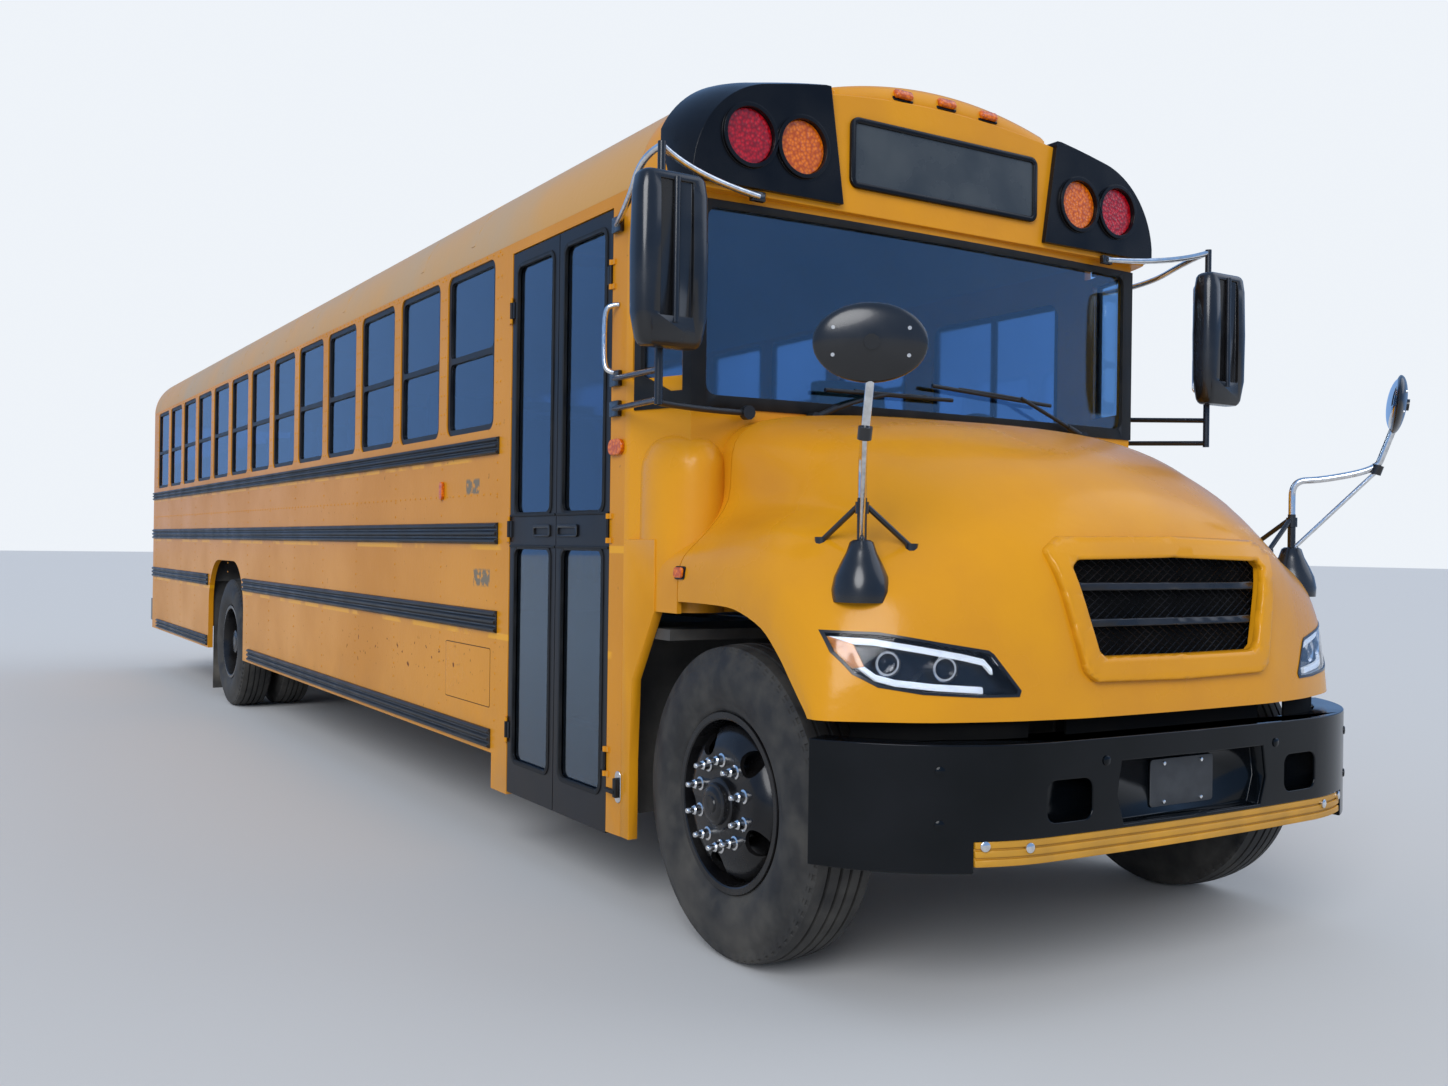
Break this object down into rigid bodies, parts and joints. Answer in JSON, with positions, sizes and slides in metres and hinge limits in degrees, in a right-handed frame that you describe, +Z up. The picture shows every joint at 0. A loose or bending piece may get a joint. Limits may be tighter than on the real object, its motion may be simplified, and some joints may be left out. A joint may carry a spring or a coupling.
{
  "type": "school bus",
  "caption": "Conventional school bus: long windowed body on a truck chassis with a tilting hood, twin rear wheels, entrance leaves, rear emergency door and roof hatches.",
  "frame": {"origin": "centre of the outline on the ground", "axes": "-Y is forward, +X is the driver's side, +Z is up"},
  "size_m": [3.026, 12.5, 3.222],
  "materials": {
    "bus_yellow": "semi-gloss enamel, weathered",
    "roof_yellow": "weathered enamel, dusty",
    "hood_yellow": "gloss enamel on a moulding",
    "gloss_black": "gloss black enamel",
    "satin_black": "satin black",
    "lamp_black": "satin black plastic",
    "trim_yellow": "ribbed yellow plastic",
    "sash_black": "anodised dark",
    "window_glass": "tinted, clear polish",
    "screen_glass": "clear polish",
    "lens_red": "moulded lens",
    "lens_amber": "moulded lens",
    "lamp_glass": "moulded clear lens",
    "grille_black": "satin",
    "mirror_black": "gloss black",
    "chassis_black": "satin, road dust",
    "cast_black": "painted casting",
    "steel_grey": "dull steel",
    "engine_grey": "painted casting",
    "flap_rubber": "matt rubber",
    "floor_rubber": "ribbed rubber",
    "seat_vinyl": "padded vinyl",
    "dash_black": "moulded plastic",
    "tyre_rubber": "matt rubber",
    "rim_steel": "painted steel",
    "stop_red": "plain red enamel"
  },
  "bodies": {
    "bus": {"chassis_frame": "chassis_black", "cross_members": "chassis_black", "floor": "floor_rubber", "entry_steps": "floor_rubber", "side_wall_right": "bus_yellow", "side_wall_left": "bus_yellow", "roof": "roof_yellow", "front_cap": "bus_yellow", "rear_wall": "bus_yellow", "front_cowl": "bus_yellow", "window_glass_right": "window_glass", "window_glass_left": "window_glass", "windshield": "screen_glass", "window_frames": "sash_black", "rub_rails": "satin_black", "front_bumper": "gloss_black", "bumper_lip": "trim_yellow", "rear_bumper": "gloss_black", "lamp_pods": "lamp_black", "red_lamps": "lens_red", "amber_lamps": "lens_amber", "side_mirrors": "mirror_black", "seats_right": "seat_vinyl", "seats_left": "seat_vinyl", "seat_frames": "steel_grey", "dashboard": "dash_black", "powertrain": "engine_grey", "exhaust": "steel_grey", "fuel_tank": "chassis_black", "front_axle": "cast_black", "rear_axle": "cast_black", "mud_flaps": "flap_rubber"},
    "hood": {"hood": "hood_yellow", "grille": "grille_black", "headlamps": "lamp_glass", "hood_mirrors": "mirror_black"},
    "door_front": {"door_leaf_front": "satin_black", "door_glass_front": "window_glass"},
    "door_rear": {"door_leaf_rear": "satin_black", "door_glass_rear": "window_glass"},
    "emergency_door": {"emergency_door": "bus_yellow", "emergency_glass": "window_glass"},
    "hatch_front": {"roof_hatch_front": "roof_yellow"},
    "hatch_rear": {"roof_hatch_rear": "roof_yellow"},
    "stop_arm": {"stop_arm": "stop_red"},
    "knuckle_right": {"knuckle_right": "cast_black"},
    "knuckle_left": {"knuckle_left": "cast_black"},
    "tie_rod": {"tie_rod": "cast_black"},
    "wheel_front_right": {"tyre_front_right": "tyre_rubber", "rim_front_right": "rim_steel"},
    "wheel_front_left": {"tyre_front_left": "tyre_rubber", "rim_front_left": "rim_steel"},
    "wheels_rear_right": {"tyres_rear_right": "tyre_rubber", "rims_rear_right": "rim_steel"},
    "wheels_rear_left": {"tyres_rear_left": "tyre_rubber", "rims_rear_left": "rim_steel"}
  },
  "joints": [
    {"name": "hood_tilt", "type": "hinge", "parent": "bus", "child": "hood", "pos_m": [0, -6.11, 0.69], "axis": [1, 0, 0], "range_deg": [0, 75]},
    {"name": "door_front_swing", "type": "hinge", "parent": "bus", "child": "door_front", "pos_m": [-1.225, -4.53, 1.4], "axis": [0, 0, 1], "range_deg": [0, 90]},
    {"name": "door_rear_swing", "type": "hinge", "parent": "bus", "child": "door_rear", "pos_m": [-1.225, -3.572, 1.4], "axis": [0, 0, -1], "range_deg": [0, 90]},
    {"name": "emergency_swing", "type": "hinge", "parent": "bus", "child": "emergency_door", "pos_m": [-0.462, 6.162, 1.88], "axis": [0, 0, 1], "range_deg": [0, 105]},
    {"name": "hatch_front_tilt", "type": "hinge", "parent": "bus", "child": "hatch_front", "pos_m": [0, -2.232, 3.183], "axis": [1, 0, 0], "range_deg": [0, 80]},
    {"name": "hatch_rear_tilt", "type": "hinge", "parent": "bus", "child": "hatch_rear", "pos_m": [0, 2.968, 3.183], "axis": [1, 0, 0], "range_deg": [0, 80]},
    {"name": "stop_arm_swing", "type": "hinge", "parent": "bus", "child": "stop_arm", "pos_m": [1.249, -4.29, 1.33], "axis": [0, 0, -1], "range_deg": [0, 90]},
    {"name": "steer_left", "type": "hinge", "parent": "bus", "child": "knuckle_left", "pos_m": [0.9, -5.29, 0.527], "axis": [0, 0, 1], "range_deg": [-35, 35]},
    {"name": "steer_right", "type": "hinge", "parent": "bus", "child": "knuckle_right", "pos_m": [-0.9, -5.29, 0.527], "axis": [0, 0, 1], "range_deg": [-35, 35]},
    {"name": "tie_rod_pivot", "type": "hinge", "parent": "knuckle_left", "child": "tie_rod", "pos_m": [0.9, -5.1, 0.44], "axis": [0, 0, 1], "range_deg": [-35, 35]},
    {"name": "wheel_front_left_spin", "type": "hinge", "parent": "knuckle_left", "child": "wheel_front_left", "pos_m": [1.04, -5.29, 0.527], "axis": [1, 0, 0], "continuous": true},
    {"name": "wheel_front_right_spin", "type": "hinge", "parent": "knuckle_right", "child": "wheel_front_right", "pos_m": [-1.04, -5.29, 0.527], "axis": [1, 0, 0], "continuous": true},
    {"name": "wheels_rear_left_spin", "type": "hinge", "parent": "bus", "child": "wheels_rear_left", "pos_m": [1.05, 2.46, 0.527], "axis": [1, 0, 0], "continuous": true},
    {"name": "wheels_rear_right_spin", "type": "hinge", "parent": "bus", "child": "wheels_rear_right", "pos_m": [-1.05, 2.46, 0.527], "axis": [1, 0, 0], "continuous": true}
  ],
  "couplings": [
    {"joint": "steer_right", "follows": "steer_left", "ratio": 1},
    {"joint": "tie_rod_pivot", "follows": "steer_left", "ratio": -1}
  ]
}
